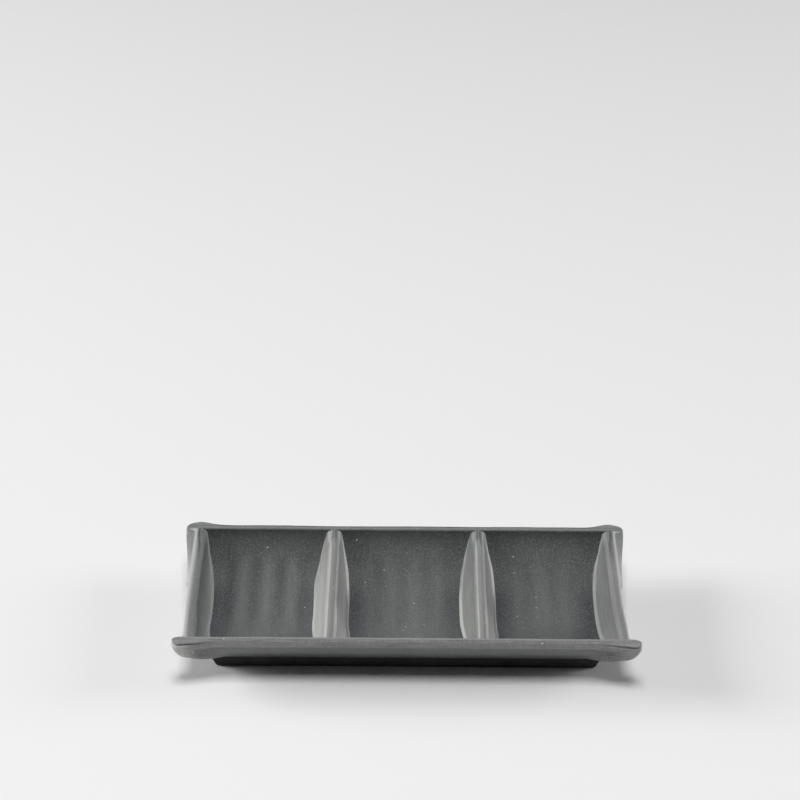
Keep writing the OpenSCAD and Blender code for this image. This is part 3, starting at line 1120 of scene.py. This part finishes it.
def speckled_glaze(name, base, roughness):
    material, shader, place = new_finish(name)
    tree = place.tree
    cloud = clouds(place, 60.0, 3.0)
    grain = clouds(place, 1300.0, 2.0)
    tint = clouds(place, 35.0, 1.0)
    fine = speck_layer(place, 0.00075, 0.0005, 0.6)
    bright = speck_layer(place, 0.0048, 0.00078, 0.26)
    streak = clouds(stretched(place, (1100.0, 70.0, 500.0)), 1.0, 2.0)
    wipe = clouds(stretched(place, (90.0, 900.0, 1300.0)), 1.0, 3.0)
    depth = add_node(tree, "ShaderNodeSeparateXYZ", {}, {"Vector": place}, output="Y")
    on_lip = ramp(depth * depth, lip_starts ** 2, lip_full ** 2)

    thinness_and_light = add_node(tree, "ShaderNodeAttribute", {"attribute_name": "glaze_thinness_and_painted_light"}, output="Fac")
    thinness_and_light = thinness_and_light * 0.78 + 0.22 + (cloud - 0.5) * 0.05
    thinness_and_light = thinness_and_light + (streak - 0.5) * (thinness_and_light * 0.6)
    thinness_and_light = thinness_and_light + (wipe - 0.5) * (on_lip * 0.34)

    darker, lighter = tinted(base, (0.86, 0.88, 0.9)), tinted(base, (1.14, 1.13, 1.1))
    colour = mix_colours(tree, ramp(cloud, 0.3, 0.7), darker, lighter)
    colour = mix_colours(tree, ramp(tint, 0.42, 0.66) * 0.5, colour, tinted(base, (0.93, 1.02, 1.04)))
    # Pale clay where the glaze is thin and where light and highlights are painted; painted shade darkens the
    # colour.
    colour = mix_colours(tree, thinness_and_light, colour, pale_clay_and_light)
    colour = mix_colours(tree, ramp(grain, 0.5, 0.72) * 0.16, colour, grain_grey)
    colour = mix_colours(tree, fine * 0.29, colour, fine_speck)
    colour = mix_colours(tree, bright * 0.75, colour, bright_speck)
    height = grain * 0.35 + fine * 0.6 + wipe * (on_lip * 3.0)
    relief = {"Strength": 0.22, "Distance": 0.00012, "Height": height}
    give(shader, "Base Color", colour)
    give(shader, "Roughness", roughness + (cloud - 0.5) * 0.1 + fine * 0.06)
    give(shader, "Normal", add_node(tree, "ShaderNodeBump", {}, relief))
    return material


glaze = speckled_glaze("speckled_glaze_finish", (0.007, 0.0115, 0.0145), 0.42)
print("Glaze nodes:", len(glaze.node_tree.nodes))

# %% [markdown]
# ## The bare foot
# The foot isn't glazed, because glaze would stick it to the kiln shelf. It is dark fired clay, matt, with a
# fine grain, and its nearly black colour also paints the deep shade under the dish's overhang.

# %% Dark foot
dark_clay_and_shade, clay_shader, place = new_finish("dark_foot_finish")
grain = clouds(place, 1400.0, 3.0)
patch = clouds(place, 90.0, 2.0)
clay_share = ramp(grain * 0.6 + patch * 0.4, 0.35, 0.68)
clay_relief = {"Strength": 0.4, "Distance": 0.0001, "Height": grain}
clay_shader.inputs["Specular IOR Level"].default_value = 0.25
# Nearly black: dark clay, and painted shade for the gap under the overhang.
clay_colour = mix_colours(place.tree, clay_share, (0.019, 0.019, 0.02, 1), (0.042, 0.041, 0.041, 1))
give(clay_shader, "Base Color", clay_colour)
give(clay_shader, "Roughness", ramp(grain, 0.2, 0.8, 0.68, 0.9))
give(clay_shader, "Normal", add_node(place.tree, "ShaderNodeBump", {}, clay_relief))

for piece, node in pieces:
    piece.data.materials.append(dark_clay_and_shade if node == "foot_ring" else glaze)
print("Finishes given to", len(pieces), "pieces")

# %% [markdown]
# ## The floor
# The dish stands on a seamless pale floor, which is large enough to fill the picture and matt enough
# to show nothing but the dish's soft shadow.

# %% Floor
floor_mesh = bpy.data.meshes.new("floor")
floor_shape = bmesh.new()
bmesh.ops.create_grid(floor_shape, x_segments=1, y_segments=1, size=3.0)
floor_shape.to_mesh(floor_mesh)
floor_shape.free()
floor = bpy.data.objects.new("floor", floor_mesh)
bpy.context.scene.collection.objects.link(floor)
floor_finish = bpy.data.materials.new("pale_floor")
floor_finish.use_nodes = True
floor_shader = floor_finish.node_tree.nodes["Principled BSDF"]
floor_shader.inputs["Base Color"].default_value = (0.81, 0.81, 0.807, 1)
floor_shader.inputs["Roughness"].default_value = 0.9
floor_mesh.materials.append(floor_finish)
print("Floor:", [round(v, 1) for v in floor.dimensions], "m")

# %% [markdown]
# ## The light
# A large soft light stands to the left, a weaker one to the right, and a third hangs above the dish.
# The satin glaze mirrors the two at the sides as soft bands. The one above gives light alone, because
# its own reflection would wash out the trough.
#
# The air round the dish does three jobs, told apart by the kind of ray that asks. Mirrored in the
# glaze, it grows brighter towards the back. Straight to the camera, it is a pale backdrop. As light
# on the dish, it is only a faint fill.

# %% Lights
backdrop_level = 0.83
fill_level = 0.05


def soft_light(name, place, size, level, mirrored=True):
    """A square soft light that looks at the dish. level is the brightness of a white surface facing it."""
    lamp = bpy.data.lights.new(name, "AREA")
    lamp.shape = "SQUARE"
    lamp.size = size
    lamp.energy = level * math.pi ** 2 * Vector(place).length_squared
    holder = bpy.data.objects.new(name, lamp)
    holder.location = place
    holder.rotation_euler = (-Vector(place)).to_track_quat("-Z", "Y").to_euler()
    holder.visible_glossy = mirrored
    bpy.context.scene.collection.objects.link(holder)


soft_light("left_softbox", (-2.8, 0.4, 1.1), 1.3, 0.86)
soft_light("right_softbox", (2.8, 0.4, 1.1), 1.3, 0.4)
soft_light("top_softbox", (0.0, -0.95, 2.75), 0.85, 0.63, mirrored=False)
world = bpy.data.worlds.new("studio_air")
world.use_nodes = True
air = world.node_tree
backdrop = air.nodes["Background"]
backdrop.inputs["Color"].default_value = (1, 1, 1, 1)
direction = add_node(air, "ShaderNodeTexCoord", output="Generated")
towards_back = add_node(air, "ShaderNodeSeparateXYZ", {}, {"Vector": direction}, output="Y")
mirrored = add_node(air, "ShaderNodeLightPath", output="Is Glossy Ray")
seen = add_node(air, "ShaderNodeLightPath", output="Is Camera Ray")
sheen = ramp(towards_back, -0.2, 0.75, 0.1, 1.0)
strength = sheen * mirrored + seen * backdrop_level + (1 - mirrored) * (1 - seen) * fill_level
give(backdrop, "Strength", strength)
bpy.context.scene.world = world
print("Lights:", [lamp.name for lamp in bpy.data.lights])

# %% [markdown]
# ## The camera
# The camera stands in front of the dish, about a metre away, and looks down at 36 degrees through a
# long lens. The dish's origin shows below the middle of the picture, and the camera is
# rolled by a third of a degree.

# %% Camera
picture_size = 800
sensor_width = 36.0
focal_pixels = 2299.0
camera_distance = 1.102
camera_elevation = math.radians(36.4)
origin_right_pixels = 7.3
origin_down_pixels = 229.7
camera_roll = math.radians(0.37)
tilt = math.atan2(origin_down_pixels, focal_pixels)
swing = math.atan2(origin_right_pixels, focal_pixels)
right = Vector((1, 0, 0))
forward = Vector((0, math.cos(camera_elevation - tilt), -math.sin(camera_elevation - tilt)))
up = right.cross(forward)
forward = forward * math.cos(swing) - right * math.sin(swing)
right = forward.cross(up).normalized()
up = right.cross(forward)
rolled_right = right * math.cos(camera_roll) + up * math.sin(camera_roll)
rolled_up = up * math.cos(camera_roll) - right * math.sin(camera_roll)
camera_data = bpy.data.cameras.new("camera")
camera_data.sensor_width = sensor_width
camera_data.lens = sensor_width * focal_pixels / picture_size
camera = bpy.data.objects.new("camera", camera_data)
place = Vector((0, -math.cos(camera_elevation), math.sin(camera_elevation))) * camera_distance
turned = Matrix((rolled_right, rolled_up, -forward)).transposed().to_4x4()
camera.matrix_world = Matrix.Translation(place) @ turned
bpy.context.scene.collection.objects.link(camera)
bpy.context.scene.camera = camera
bpy.context.scene.view_settings.view_transform = "Standard"
print("Camera at", [round(v, 3) for v in place], "m")
